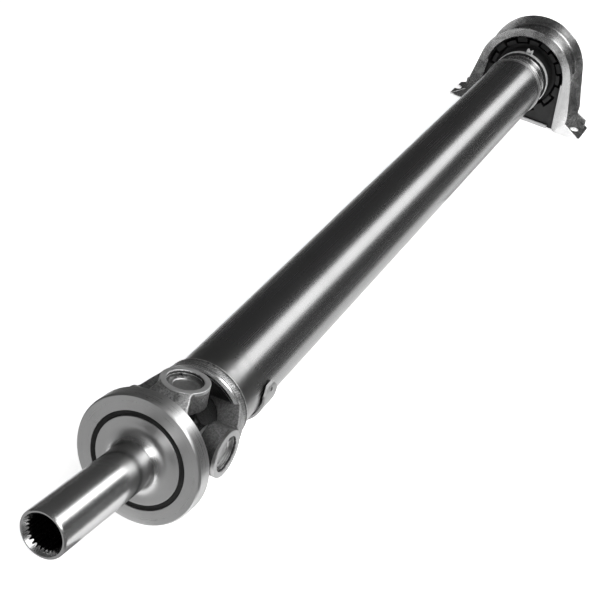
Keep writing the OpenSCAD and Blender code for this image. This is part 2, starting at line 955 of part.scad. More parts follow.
module grease_fitting() color(bright) at_bent_joint()
    rotate([135, 0, 0])
        translate([0, 0, fitting_seat])
            difference() {
                union() {
                    translate([0, 0, -4.4])
                        cylinder(r = fitting_thread_r, h = 5);
                    translate([0, 0, 0.2])
                        cylinder(r = fitting_hex_r, h = 2.2, $fn = 6);
                    translate([0, 0, 1])
                        cylinder(r = 2.1, h = 4);
                    translate([0, 0, 5])
                        sphere(2.6);
                }
                translate([0, 0, 3.6])
                    cylinder(r = 0.7, h = 8);
            }

carrier_bracket();
rubber_cushion();
base_strap();
bearing_shell();
bearing_outer_race();
front_seal();
rear_seal();
snout_clamp();
bearing_cage();
bearing_balls();
bearing_inner_race();
stub_shaft();
front_slinger();
rear_slinger();
stub_circlip();
main_tube();
rear_weld();
front_weld();
balance_weight();
tube_yoke();
side_cups();
side_circlips();
side_needles();
joint_spider();
thrust_washers();
trunnion_seals();
grease_fitting();
slip_yoke();
bore_plug();
damper_rubber();
inertia_ring();
end_cups();
end_circlips();
end_needles();
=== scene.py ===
"""Looks of a propeller shaft section: steel tube, cross joint, ring damper, splined slip sleeve and
rubber mounted centre bearing. Pieces are drawn in millimetres, each in a frame with the piece's axis as
its X axis. Floor, cards, light, camera and the distances in materials are in metres."""

import json
import math

import bmesh
import bpy
from mathutils import Euler, Matrix, Vector, noise


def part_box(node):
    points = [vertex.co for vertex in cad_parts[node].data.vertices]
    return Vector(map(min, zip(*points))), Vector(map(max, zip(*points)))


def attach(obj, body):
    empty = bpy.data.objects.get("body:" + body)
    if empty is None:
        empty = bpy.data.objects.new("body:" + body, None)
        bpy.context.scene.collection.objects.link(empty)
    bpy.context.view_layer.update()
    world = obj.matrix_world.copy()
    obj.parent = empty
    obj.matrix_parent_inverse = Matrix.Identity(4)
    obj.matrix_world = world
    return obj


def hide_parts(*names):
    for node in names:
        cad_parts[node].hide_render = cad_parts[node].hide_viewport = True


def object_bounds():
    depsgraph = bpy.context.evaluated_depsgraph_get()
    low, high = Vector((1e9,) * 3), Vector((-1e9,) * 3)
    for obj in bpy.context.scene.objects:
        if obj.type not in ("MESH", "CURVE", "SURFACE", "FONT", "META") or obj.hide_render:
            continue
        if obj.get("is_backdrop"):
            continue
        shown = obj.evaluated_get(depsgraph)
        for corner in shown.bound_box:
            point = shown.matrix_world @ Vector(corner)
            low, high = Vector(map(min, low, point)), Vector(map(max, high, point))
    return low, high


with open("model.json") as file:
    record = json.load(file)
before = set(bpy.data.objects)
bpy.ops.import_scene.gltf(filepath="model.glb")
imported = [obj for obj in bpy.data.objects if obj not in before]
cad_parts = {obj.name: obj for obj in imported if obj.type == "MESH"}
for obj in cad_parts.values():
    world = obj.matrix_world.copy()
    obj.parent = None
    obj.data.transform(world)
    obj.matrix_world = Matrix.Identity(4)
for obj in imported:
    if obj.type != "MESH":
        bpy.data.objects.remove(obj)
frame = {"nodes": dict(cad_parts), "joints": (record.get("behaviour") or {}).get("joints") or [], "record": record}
cad_low, cad_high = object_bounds()

MM = 0.001

# Steps round a turned piece, round a corner of an outline and along an arc.
TURN_STEPS = 192
ROUND_STEPS = 5
ARC_STEPS = 20

# Half angles, in radians, beyond which a corner is left as it is, and the most of a side that it takes.
SHARPEST_HALF = 0.01
FLATTEST_HALF = 1.56
LONGEST_CUT = 0.48

# Distances in metres at which points merge and thin faces go, and angles in degrees.
MERGE = 1e-6
DEGENERATE = 1e-7
SHARP_ANGLE = 38
CAST_SHARP_ANGLE = 60
FLAT_ANGLE = 0.4
EASE_ANGLE = 32
EASE_SEGMENTS = 3

# Forged surfaces: size of a voxel, rounds of smoothing and height of the lumps.
CAST_VOXEL = 0.7
CAST_ROUNDS = 5
CAST_GRAIN = 0.12

# ---- frames that the pieces are built in ----

JOINTS = {joint["name"]: joint for joint in frame["joints"]}
MOUNTS = {mount["name"]: mount for mount in frame["record"]["mounts"]}
FORWARD = Vector((1, 0, 0))


def axes(origin, x, y):
    """Matrix of a frame with the given origin, X axis and Y axis."""
    z = x.cross(y).normalized()
    matrix = Matrix((x, z.cross(x), z)).transposed().to_4x4()
    matrix.translation = origin
    return matrix


spin_at = Vector(JOINTS["shaft_spin"]["pos_m"])
joint_at = Vector(JOINTS["cross_swing"]["pos_m"])
ear_side = Vector(JOINTS["cross_swing"]["axis"]).normalized()
ear_up = Vector(JOINTS["yoke_swing"]["axis"]).normalized()
CARRIER = axes(spin_at, FORWARD, Vector((0, 1, 0)))
TUBE = axes(joint_at, FORWARD, ear_side)
SLIP = axes(joint_at, ear_side.cross(ear_up), ear_side)


def extent(node, place):
    """(lowest X, highest X, largest radius) of a CAD node about the X axis of a frame, in mm."""
    back = place.inverted()
    points = [back @ v.co for v in frame["nodes"][node].data.vertices]
    xs = [p.x / MM for p in points]
    return min(xs), max(xs), max(math.hypot(p.y, p.z) for p in points) / MM


# ---- mesh helpers ----


def rounded(corners):
    """Outline of (x, r) points from corners given as (x, r, radius)."""
    outline = []
    for i, (x, r, radius) in enumerate(corners):
        here = Vector((x, r))
        before = Vector(corners[i - 1][:2]) - here
        after = Vector(corners[(i + 1) % len(corners)][:2]) - here
        half = before.angle(after) / 2 if radius else 0
        if not SHARPEST_HALF <= half <= FLATTEST_HALF:
            outline.append((x, r))
            continue
        cut = min(radius / math.tan(half), LONGEST_CUT * before.length, LONGEST_CUT * after.length)
        start, end = here + before.normalized() * cut, here + after.normalized() * cut
        for k in range(ROUND_STEPS + 1):
            t = k / ROUND_STEPS
            p = start * (1 - t) ** 2 + here * (2 * t * (1 - t)) + end * t ** 2
            outline.append((p.x, p.y))
    return outline


def arc(x, r, along, outwards, start, end):
    """Points of an oval arc in an outline, from one angle to another in degrees."""
    angles = [math.radians(start + (end - start) * k / ARC_STEPS) for k in range(ARC_STEPS + 1)]
    return [(x + along * math.cos(a), r + outwards * math.sin(a)) for a in angles]


def turned(outline, steps=TURN_STEPS, warp=None):
    """Vertices, in metres, and faces of a closed (x, r) outline in mm turned about the X axis."""
    vertices, faces = [], []
    count = len(outline)
    for i in range(steps):
        angle = math.tau * i / steps
        for x, r in outline:
            if warp:
                x, r = warp(x, r, angle)
            vertices.append((x * MM, r * math.cos(angle) * MM, r * math.sin(angle) * MM))
    for i in range(steps):
        here, there = i * count, (i + 1) % steps * count
        for j in range(count):
            k = (j + 1) % count
            faces.append((here + j, here + k, there + k, there + j))
    return vertices, faces


def finish_mesh(mesh, sharp=SHARP_ANGLE):
    """Merges doubled points, faces normals outwards and marks edges sharper than an angle."""
    bm = bmesh.new()
    bm.from_mesh(mesh)
    bmesh.ops.remove_doubles(bm, verts=bm.verts, dist=MERGE)
    bmesh.ops.dissolve_degenerate(bm, edges=bm.edges, dist=DEGENERATE)
    bmesh.ops.recalc_face_normals(bm, faces=bm.faces)
    for edge in bm.edges:
        edge.smooth = edge.calc_face_angle(0) < math.radians(sharp)
    for face in bm.faces:
        face.smooth = True
    bm.to_mesh(mesh)
    bm.free()


def make(name, mesh, place, body, material, replaces=()):
    """Puts a mesh in the scene as a piece that rides on a body. Its paint goes by where it was drawn."""
    drawn = mesh.attributes.new("drawn", "FLOAT_VECTOR", "POINT")
    for value, vertex in zip(drawn.data, mesh.vertices):
        value.vector = vertex.co
    mesh.transform(place)
    piece = bpy.data.objects.new(name, mesh)
    bpy.context.scene.collection.objects.link(piece)
    mesh.materials.clear()
    mesh.materials.append(material)
    weighted = piece.modifiers.new("weighted", "WEIGHTED_NORMAL")
    weighted.keep_sharp = True
    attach(piece, body)
    if replaces:
        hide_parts(*replaces)


def make_turned(name, outline, place, body, material, replaces=(), steps=TURN_STEPS, warp=None):
    """Turns an outline about the X axis of a frame and makes a piece of it."""
    vertices, faces = turned(outline, steps, warp)
    mesh = bpy.data.meshes.new(name)
    mesh.from_pydata(vertices, [], faces)
    finish_mesh(mesh)
    make(name, mesh, place, body, material, replaces)


def copied(node, name, place, cut_beyond=None):
    """Mesh of a CAD node in the axes of a frame, closed off beyond an X in mm if one is given."""
    mesh = frame["nodes"][node].data.copy()
    mesh.name = name
    mesh.transform(place.inverted())
    bm = bmesh.new()
    bm.from_mesh(mesh)
    bmesh.ops.remove_doubles(bm, verts=bm.verts, dist=MERGE)
    if cut_beyond is not None:
        everything = bm.verts[:] + bm.edges[:] + bm.faces[:]
        bmesh.ops.bisect_plane(
            bm, geom=everything, plane_co=(cut_beyond * MM, 0, 0), plane_no=(1, 0, 0), clear_outer=True
        )
        bmesh.ops.holes_fill(bm, edges=bm.edges)
    bm.to_mesh(mesh)
    bm.free()
    return mesh


def applied(mesh, *modifiers):
    """The mesh after modifiers given as (kind, settings)."""
    piece = bpy.data.objects.new("work", mesh)
    bpy.context.scene.collection.objects.link(piece)
    for kind, settings in modifiers:
        modifier = piece.modifiers.new(kind, kind)
        for key, value in settings.items():
            setattr(modifier, key, value)
    graph = bpy.context.evaluated_depsgraph_get()
    result = bpy.data.meshes.new_from_object(piece.evaluated_get(graph))
    bpy.data.objects.remove(piece)
    return result


def eased(node, name, place, width):
    """Copy of a CAD node's mesh with its edges rounded to a width in mm."""
    mesh = copied(node, name, place)
    bm = bmesh.new()
    bm.from_mesh(mesh)
    bmesh.ops.dissolve_limit(bm, angle_limit=math.radians(FLAT_ANGLE), verts=bm.verts, edges=bm.edges)
    bm.to_mesh(mesh)
    bm.free()
    mesh = applied(
        mesh,
        (
            "BEVEL",
            dict(
                width=width * MM, segments=EASE_SEGMENTS, limit_method="ANGLE",
                angle_limit=math.radians(EASE_ANGLE), use_clamp_overlap=True, miter_outer="MITER_ARC",
            ),
        ),
    )
    finish_mesh(mesh)
    return mesh


def cast(node, name, place, cut_beyond=None):
    """Copy of a CAD node's mesh with the soft edges and coarse and fine lumps of a forging."""
    mesh = copied(node, name, place, cut_beyond)
    mesh = applied(
        mesh,
        ("REMESH", dict(mode="VOXEL", voxel_size=CAST_VOXEL * MM)),
        ("SMOOTH", dict(factor=0.5, iterations=CAST_ROUNDS)),
    )
    outwards = [vertex.normal.copy() for vertex in mesh.vertices]
    for vertex, outward in zip(mesh.vertices, outwards):
        p = vertex.co / MM
        lump = noise.noise(p * 0.35) * 0.6 + noise.noise(p * 1.1) * 0.4
        vertex.co += outward * lump * CAST_GRAIN * MM
    finish_mesh(mesh, CAST_SHARP_ANGLE)
    return mesh


# ---- materials ----


class Paint:
    """A material's node tree, with short ways to add to it.

    edge below 1 dims reflections at a glancing angle. With drawn, the paint goes by where a piece was
    drawn, in its own frame. Without it, the paint goes by object coordinates.
    """

    def __init__(self, name, metallic, specular=0.5, edge=1.0, drawn=True):
        self.material = bpy.data.materials.new(name)
        self.material.use_nodes = True
        self.tree = self.material.node_tree
        self.shader = self.tree.nodes["Principled BSDF"]
        self.shader.inputs["Metallic"].default_value = metallic
        self.shader.inputs["Specular IOR Level"].default_value = specular
        self.shader.inputs["Specular Tint"].default_value = (edge, edge, edge, 1)
        if drawn:
            source = self.tree.nodes.new("ShaderNodeAttribute")
            source.attribute_name = "drawn"
            coordinates = source.outputs["Vector"]
        else:
            coordinates = self.tree.nodes.new("ShaderNodeTexCoord").outputs["Object"]
        parts = self.tree.nodes.new("ShaderNodeSeparateXYZ")
        self.tree.links.new(coordinates, parts.inputs[0])
        self.point = coordinates
        self.x, self.y, self.z = parts.outputs

    def put(self, socket, value):
        if isinstance(value, bpy.types.NodeSocket):
            self.tree.links.new(value, socket)
        else:
            socket.default_value = value

    def math(self, operation, a, b=0.0):
        node = self.tree.nodes.new("ShaderNodeMath")
        node.operation = operation
        self.put(node.inputs[0], a)
        self.put(node.inputs[1], b)
        return node.outputs[0]

    def vector(self, x, y, z):
        node = self.tree.nodes.new("ShaderNodeCombineXYZ")
        for socket, value in zip(node.inputs, (x, y, z)):
            self.put(socket, value)
        return node.outputs[0]

    def noise(self, scale, detail=4.0, roughness=0.55, at=None):
        node = self.tree.nodes.new("ShaderNodeTexNoise")
        self.put(node.inputs["Vector"], at or self.point)
        node.inputs["Scale"].default_value = scale
        node.inputs["Detail"].default_value = detail
        node.inputs["Roughness"].default_value = roughness
        return node.outputs["Fac"]

    def scale(self, value, low, high, from_low=0.3, from_high=0.7):
        node = self.tree.nodes.new("ShaderNodeMapRange")
        self.put(node.inputs["Value"], value)
        ends = {"From Min": from_low, "From Max": from_high, "To Min": low, "To Max": high}
        for key, number in ends.items():
            node.inputs[key].default_value = number
        return node.outputs[0]

    def colour(self, value, dark, light):
        node = self.tree.nodes.new("ShaderNodeMix")
        node.data_type = "RGBA"
        self.put(node.inputs["Factor"], value)
        node.inputs["A"].default_value = (*dark, 1)
        node.inputs["B"].default_value = (*light, 1)
        return node.outputs["Result"]

    def radius(self):
        squares = [self.math("MULTIPLY", axis, axis) for axis in (self.y, self.z)]
        return self.math("SQRT", self.math("ADD", *squares))

    def angle(self):
        return self.math("ARCTAN2", self.z, self.y)

    def edges(self, low=0.5, high=0.56):
        """0 on flat surfaces and 1 on outer edges: a mask for worn edges and painted edge highlights."""
        node = self.tree.nodes.new("ShaderNodeNewGeometry")
        return self.scale(node.outputs["Pointiness"], 0, 1, low, high)

    def bump(self, height, strength, distance):
        node = self.tree.nodes.new("ShaderNodeBump")
        self.put(node.inputs["Height"], height)
        node.inputs["Strength"].default_value = strength
        node.inputs["Distance"].default_value = distance
        self.tree.links.new(node.outputs[0], self.shader.inputs["Normal"])

    def hollows(self, distance):
        """0 deep in a hollow and 1 out in the open, a mask for painted shade."""
        node = self.tree.nodes.new("ShaderNodeAmbientOcclusion")
        node.samples = 6
        node.inputs["Distance"].default_value = distance
        return node.outputs["AO"]

    def brushed_round(self, place, amount):
        """Spreads reflections across turning marks that run round the X axis of a frame."""
        total = None
        for socket, column, sign in ((self.z, 1, -1), (self.y, 2, 1)):
            node = self.tree.nodes.new("ShaderNodeVectorMath")
            node.operation = "SCALE"
            node.inputs[0].default_value = sign * place.col[column].xyz
            self.put(node.inputs["Scale"], socket)
            if total is None:
                total = node.outputs[0]
                continue
            both = self.tree.nodes.new("ShaderNodeVectorMath")
            self.put(both.inputs[0], total)
            self.put(both.inputs[1], node.outputs[0])
            total = both.outputs[0]
        turn = self.tree.nodes.new("ShaderNodeVectorTransform")
        turn.vector_type = "VECTOR"
        turn.convert_from, turn.convert_to = "OBJECT", "WORLD"
        self.tree.links.new(total, turn.inputs[0])
        self.tree.links.new(turn.outputs[0], self.shader.inputs["Tangent"])
        self.shader.inputs["Anisotropic"].default_value = amount

    def done(self, colour, roughness):
        self.put(self.shader.inputs["Base Color"], colour)
        self.put(self.shader.inputs["Roughness"], roughness)
        return self.material


def grey(value):
    return value, value, value


def turned_metal(name, dark, light, rough_low, rough_high, marks, depth, place=None, brushed=0.0):
    """Steel with fine rings left by the lathe, about the X axis."""
    p = Paint(name, 1.0, 0.5, 0.55)
    across = p.vector(p.math("MULTIPLY", p.x, marks), p.math("MULTIPLY", p.radius(), marks), 0.0)
    rings = p.noise(1.0, 5, 0.65, across)
    cloud = p.noise(60, 3)
    p.bump(rings, 0.25, depth)
    if place:
        p.brushed_round(place, brushed)
    roughness = p.math("ADD", p.scale(rings, rough_low, rough_high), p.scale(cloud, -0.02, 0.03))
    tone = p.math("ADD", p.math("MULTIPLY", rings, 0.5), p.math("MULTIPLY", cloud, 0.5))
    return p.done(p.colour(p.scale(tone, 0, 1, 0.35, 0.65), grey(dark), grey(light)), roughness)


def sleeve_metal():
    """Ground steel: scratched along the sleeve, duller and turned on the hub face, with painted shade in the
    corner.
    """
    p = Paint("ground_sleeve", 1.0, 0.5, 0.45)
    radius = p.radius()
    across = p.vector(p.math("MULTIPLY", p.x, 1400.0), p.math("MULTIPLY", radius, 1400.0), 0.0)
    along = p.vector(p.math("MULTIPLY", p.x, 18.0), p.math("MULTIPLY", p.angle(), 45.0), 0.0)
    rings, scratches = p.noise(1.0, 5, 0.6, across), p.noise(1.0, 4, 0.6, along)
    cloud = p.noise(50, 3)
    face = p.scale(radius, 0, 1, 0.0187, 0.0225)
    p.bump(rings, 0.22, 0.00002)
    p.brushed_round(SLIP, 0.55)
    scratches = p.math("MULTIPLY", scratches, p.math("SUBTRACT", 0.4, p.math("MULTIPLY", face, 0.4)))
    tone = p.math("ADD", scratches, p.math("MULTIPLY", p.math("ADD", rings, cloud), 0.3))
    tone = p.math("ADD", tone, p.math("MULTIPLY", face, 0.2))
    roughness = p.math("ADD", p.scale(tone, 0.19, 0.25), p.math("MULTIPLY", face, 0.1))
    # Painted shade: the colour is darkened in the corner where the sleeve meets the hub.
    shade = p.scale(p.hollows(0.016), 0.3, 1, 0.4, 0.72)
    tone = p.math("MULTIPLY", p.scale(tone, 0.84, 1, 0.3, 0.7), shade)
    return p.done(p.colour(tone, grey(0), grey(0.68)), roughness)


def tube_metal():
    """Dark drawn tube: long fine streaks, faint clouds and a smoky band beside the front weld."""
    p = Paint("drawn_tube", 1.0, 0.5, 0.75)
    along = p.vector(p.math("MULTIPLY", p.x, 5.0), p.math("MULTIPLY", p.angle(), 36.0), 0.0)
    streaks, cloud = p.noise(1.0, 2, 0.5, along), p.noise(14, 4)
    near_weld, puffs = p.scale(p.x, 0, 1, -0.085, -0.048), p.scale(p.noise(70, 4), 0.1, 1.0, 0.42, 0.62)
    smoke = p.math("MULTIPLY", near_weld, puffs)
    tone = p.math("ADD", p.math("MULTIPLY", streaks, 0.15), p.math("MULTIPLY", cloud, 0.85))
    tone = p.math("SUBTRACT", tone, p.math("MULTIPLY", smoke, 0.6))
    roughness = p.math("ADD", p.scale(streaks, 0.265, 0.275), p.math("MULTIPLY", smoke, 0.12))
    return p.done(p.colour(p.scale(tone, 0, 1, 0.1, 0.65), grey(0.26), grey(0.32)), roughness)


def cast_metal(name, light, depth, drawn=True):
    """Forged and blasted steel: grainy, with painted shade in its hollows and its edges lightened partly for wear
    and partly as a painted highlight.
    """
    p = Paint(name, 0.9, 0.5, 0.8, drawn)
    fine, coarse = p.noise(1700, 4, 0.7), p.noise(650, 5, 0.6)
    p.bump(p.math("ADD", p.math("MULTIPLY", fine, 0.7), p.math("MULTIPLY", coarse, 0.9)), 0.9, depth)
    # Painted shade: the colour darkens in hollows and in the gaps between parts.
    painted_hollow_shade = p.scale(p.hollows(0.08), 0.0, 1, 0.45, 0.85)
    # Edges lightened partly for wear and partly as a painted highlight.
    wear_and_highlight = p.math("MULTIPLY", p.edges(0.51, 0.57), 0.8)
    tone = p.math("ADD", p.scale(coarse, 0.25, 0.65, 0.35, 0.65), wear_and_highlight)
    tone = p.math("MULTIPLY", tone, painted_hollow_shade)
    roughness = p.math("SUBTRACT", p.scale(fine, 0.3, 0.46), p.math("MULTIPLY", p.edges(), 0.1))
    return p.done(p.colour(tone, grey(0.03), grey(light)), roughness)


def sheet_metal(drawn=True):
    """Stamped and plated sheet with soft streaks, a few rubs and edges lightened partly for wear and partly as a
    painted highlight.
    """
    p = Paint("stamped_sheet" if drawn else "stamped_inner_sheet", 1.0, 0.5, 0.7, drawn)
    x, radius = p.math("MULTIPLY", p.x, 90.0), p.math("MULTIPLY", p.radius(), 90.0)
    streaks = p.noise(1.0, 3, 0.5, p.vector(x, p.math("MULTIPLY", p.angle(), 5.0), radius))
    cloud, grain = p.noise(30, 2), p.noise(700, 2)
    p.bump(p.math("ADD", p.math("MULTIPLY", cloud, 0.8), p.math("MULTIPLY", grain, 0.01)), 0.3, 0.001)
    tone = p.math("ADD", p.math("MULTIPLY", streaks, 0.4), p.math("MULTIPLY", cloud, 0.5))
    # Edges lightened partly for wear and partly as a painted highlight.
    tone = p.math("ADD", tone, p.math("MULTIPLY", p.edges(), 0.4))
    tone = p.scale(tone, 0, 1, 0.25, 0.85)
    return p.done(p.colour(tone, grey(0.36), grey(0.7)), p.scale(streaks, 0.2, 0.3))


def rubber(drawn=True):
    """Dull black rubber, its edges paler partly for wear and partly as a painted sheen, with painted shade in its
    grooves.
    """
    p = Paint("moulded_rubber_skin" if drawn else "moulded_seal", 0.0, 0.35, 1.0, drawn)
    fine, cloud = p.noise(900, 4, 0.6), p.noise(60, 4)
    p.bump(p.math("ADD", p.math("MULTIPLY", fine, 0.5), cloud), 0.3, 0.0002)
    # Edges paler partly for wear and partly as a painted sheen.
    tone = p.math("ADD", p.math("MULTIPLY", cloud, 0.8), p.math("MULTIPLY", p.edges(), 0.3))
    # Painted shade: darker in grooves and hollows.
    tone = p.math("MULTIPLY", tone, p.scale(p.hollows(0.006), 0.1, 1, 0.3, 0.9))
    tone = p.scale(tone, 0, 1, 0.2, 0.8)
    return p.done(p.colour(tone, grey(0.006), grey(0.034)), p.scale(fine, 0.48, 0.7))


def plain_metal(
    name, dark, light, rough_low, rough_high, scale=300.0, metallic=1.0, tint=(1, 1, 1), drawn=False
):
    """Small part: mottled, a little uneven, its edges lightened partly for wear and partly as a painted highlight.
    """
    p = Paint(name, metallic, 0.5, 0.8, drawn)
    cloud, fine = p.noise(scale, 4), p.noise(scale * 5, 3)
    p.bump(p.math("ADD", cloud, p.math("MULTIPLY", fine, 0.4)), 0.2, 0.0001)
    # Edges lightened partly for wear and partly as a painted highlight.
    tone = p.math("ADD", p.math("MULTIPLY", cloud, 0.8), p.math("MULTIPLY", p.edges(), 0.3))
    low, high = (tuple(level * c for c in tint) for level in (dark, light))
    tone = p.scale(tone, 0, 1, 0.25, 0.8)
    return p.done(p.colour(tone, low, high), p.scale(fine, rough_low, rough_high))


def weld_metal(drawn=True):
    """Rippled bead, lighter on its crests partly for wear and partly as a painted highlight."""
    p = Paint("weld_bead" if drawn else "rear_weld_bead", 0.9, 0.5, 0.8, drawn)
    ripples = p.noise(700, 5, 0.7)
    p.bump(ripples, 0.8, 0.0004)
    # Crests and edges lightened partly for wear and partly as a painted highlight.
    tone = p.math("ADD", p.scale(ripples, 0, 0.7), p.math("MULTIPLY", p.edges(), 0.5))
    return p.done(p.colour(tone, grey(0.1), grey(0.65)), p.scale(ripples, 0.28, 0.45))


SLEEVE_METAL = sleeve_metal()
DISC_METAL = turned_metal(
    "turned_disc", dark=0.58, light=0.64, rough_low=0.26, rough_high=0.34, marks=1700.0, depth=0.00003,
    place=SLIP, brushed=0.5,
)
RING_METAL = turned_metal(
    "turned_ring", dark=0.78, light=0.9, rough_low=0.46, rough_high=0.56, marks=2600.0, depth=0.00004
)
SIDE_RING_METAL = turned_metal(
    "turned_side_ring", dark=0.42, light=0.55, rough_low=0.34, rough_high=0.44, marks=2600.0, depth=0.00004
)
COLLAR_METAL = turned_metal(
    "turned_collar", dark=0.75, light=0.9, rough_low=0.2, rough_high=0.32, marks=1600.0, depth=0.00003
)
TUBE_METAL = tube_metal()
CAST_METAL = cast_metal("forged_slip_yoke", light=0.98, depth=0.0005)
DARK_CAST_METAL = cast_metal("forged_tube_yoke", light=0.56, depth=0.0008)
CROSS_METAL = cast_metal("forged_cross", light=0.7, depth=0.0005, drawn=False)
WEIGHT_METAL = plain_metal(
    "weight_steel", dark=0.2, light=0.32, rough_low=0.3, rough_high=0.42, drawn=True
)
SHEET_METAL = sheet_metal()
INNER_SHEET = sheet_metal(drawn=False)
RUBBER = rubber()
SEAL_RUBBER = rubber(drawn=False)
WELD_METAL = weld_metal()
REAR_WELD_METAL = weld_metal(drawn=False)
BRIGHT_METAL = plain_metal("plated_bright", dark=0.6, light=0.85, rough_low=0.14, rough_high=0.3)
STRAP_METAL = plain_metal(
    "plated_strap", dark=0.34, light=0.5, rough_low=0.25, rough_high=0.4, drawn=True
)
CLAMP_METAL = plain_metal(
    "polished_clamp", dark=0.8, light=0.95, rough_low=0.3, rough_high=0.45, metallic=0.5, drawn=True
)
BEARING_METAL = plain_metal(
    "ground_bearing_steel", dark=0.5, light=0.7, rough_low=0.16, rough_high=0.32, scale=500.0
)
CUP_METAL = plain_metal(
    "cup_end_steel", dark=0.42, light=0.62, rough_low=0.36, rough_high=0.5, scale=260.0
)
CLIP_METAL = plain_metal(
    "spring_clip_steel", dark=0.22, light=0.42, rough_low=0.25, rough_high=0.42, scale=600.0
)
BRASS = plain_metal(
    "cage_brass_metal", dark=0.5, light=0.75, rough_low=0.25, rough_high=0.4, tint=(1.0, 0.8, 0.42)
)
NYLON = plain_metal(
    "washer_nylon", dark=0.6, light=0.75, rough_low=0.4, rough_high=0.55, metallic=0.0,
    tint=(1.0, 0.97, 0.88),
)

# ---- slip yoke: sleeve, hub and damper. Corners of an outline are (x, r, corner radius) ----

damper_rear, damper_front, inertia_r = extent("inertia_ring", SLIP)
rubber_r = extent("damper_rubber", SLIP)[2]
sleeve_end = extent("slip_yoke", SLIP)[1]
sleeve_r = MOUNTS["slip_sleeve"]["dims"]["r_mm"]
HUB_R = 35.7
CORE_R = 16
CAST_END = damper_rear + 2.5
CAST_LAP = 1.5
FLARE = 12
FLARE_LENGTH = 9
BORE_TEETH = 28
STEPS_PER_TOOTH = 12
BORE_TIP_R = 13.2
BORE_ROOT_R = 14.6
BORE_START = 76.0
BORE_START_R = 15.1
GROOVE_EDGE = 0.62
GROOVE_SLOPE = 0.42
MOUTH_R = 16.2
MOUTH_DEPTH = 4.6
MOUTH_SPAN = MOUTH_DEPTH * 1.15
MOUTH_STEPS = 18
TOOTH_PITCH = math.tau / BORE_TEETH

# Bevel round the sleeve's end, as (back from the end, in from the radius).
END_BEVEL = ((1.3, 0), (1.0, 0.15), (0.15, 1.0), (0, 1.35))


def spline_bore(x, r, angle):
    """Pushes the points of the bore out to the splines and to the bevel at the mouth."""
    if r > MOUTH_R + 0.01 or x < BORE_START - 0.01:
        return x, r
    place_in_tooth = abs(((angle / TOOTH_PITCH) % 1) - 0.5) * 2
    groove = min(1, max(0, (GROOVE_EDGE - place_in_tooth) / GROOVE_SLOPE))
    bevel = MOUTH_R - (sleeve_end - x) * (MOUTH_R - BORE_TIP_R) / MOUTH_DEPTH
    return x, max(BORE_TIP_R + groove * (BORE_ROOT_R - BORE_TIP_R), bevel)


hub_rim = rounded(
    [
        (damper_rear, HUB_R - 2, 0), (damper_rear, HUB_R, 0.8), (damper_front, HUB_R, 0.6),
        (damper_front, HUB_R - 3, 0),
    ]
)[1:-1]
mouth_stations = [sleeve_end - MOUTH_SPAN * (k / MOUTH_STEPS) for k in range(MOUTH_STEPS + 1)]
bore_stations = mouth_stations + [sleeve_end - 12, sleeve_end - 30, BORE_START]
sleeve_outline = (
    [(CAST_END - CAST_LAP, CORE_R), (CAST_END - CAST_LAP, HUB_R - 3)]
    + hub_rim
    + [(damper_front, HUB_R - 2), (damper_front, sleeve_r + FLARE + 0.5)]
    + arc(damper_front + FLARE_LENGTH, sleeve_r + FLARE, FLARE_LENGTH, FLARE, 180, 270)
    + [(damper_front + FLARE_LENGTH + 3, sleeve_r), (sleeve_end - 3, sleeve_r)]
    + [(sleeve_end - back, sleeve_r - inwards) for back, inwards in END_BEVEL]
    + [(x, MOUTH_R if x == sleeve_end else BORE_TIP_R) for x in bore_stations]
    + [(BORE_START - 0.5, BORE_START_R)]
)
make_turned(
    "slip_sleeve_and_hub", sleeve_outline, SLIP, "slip_yoke", SLEEVE_METAL,
    ("slip_yoke",), BORE_TEETH * STEPS_PER_TOOTH, spline_bore,
)
make(
    "slip_yoke_forging", cast("slip_yoke", "slip_yoke_forging", SLIP, CAST_END), SLIP,
    "slip_yoke", CAST_METAL,
)
DAMPER_STEPS = 240
damper_outline = rounded(
    [
        (damper_rear, rubber_r, 0.5), (damper_rear, inertia_r - 1.6, 0.6),
        (damper_rear + 1.6, inertia_r, 0.6), (damper_front - 2.0, inertia_r, 0.5),
        (damper_front - 0.9, inertia_r - 0.35, 0.2), (damper_front, inertia_r - 1.2, 0.5),
        (damper_front, rubber_r, 0.5),
    ]
)
make_turned(
    "damper_ring", damper_outline, SLIP, "slip_yoke", DISC_METAL, ("inertia_ring",),
    DAMPER_STEPS,
)
LIP = 1.3
rubber_middle = (HUB_R + rubber_r) / 2
make_turned(
    "damper_rubber_ring",
    [
        (damper_rear + LIP, HUB_R), (damper_rear + LIP + 0.6, rubber_middle), (damper_rear + LIP, rubber_r),
        (damper_front - LIP * 0.7, rubber_r), (damper_front - LIP * 1.3, rubber_r - 0.8),
        (damper_front - LIP * 1.4, rubber_middle), (damper_front - LIP * 1.3, HUB_R + 0.8),
        (damper_front - LIP * 0.7, HUB_R),
    ],
    SLIP, "slip_yoke", RUBBER, ("damper_rubber",),
)

# ---- ears ----

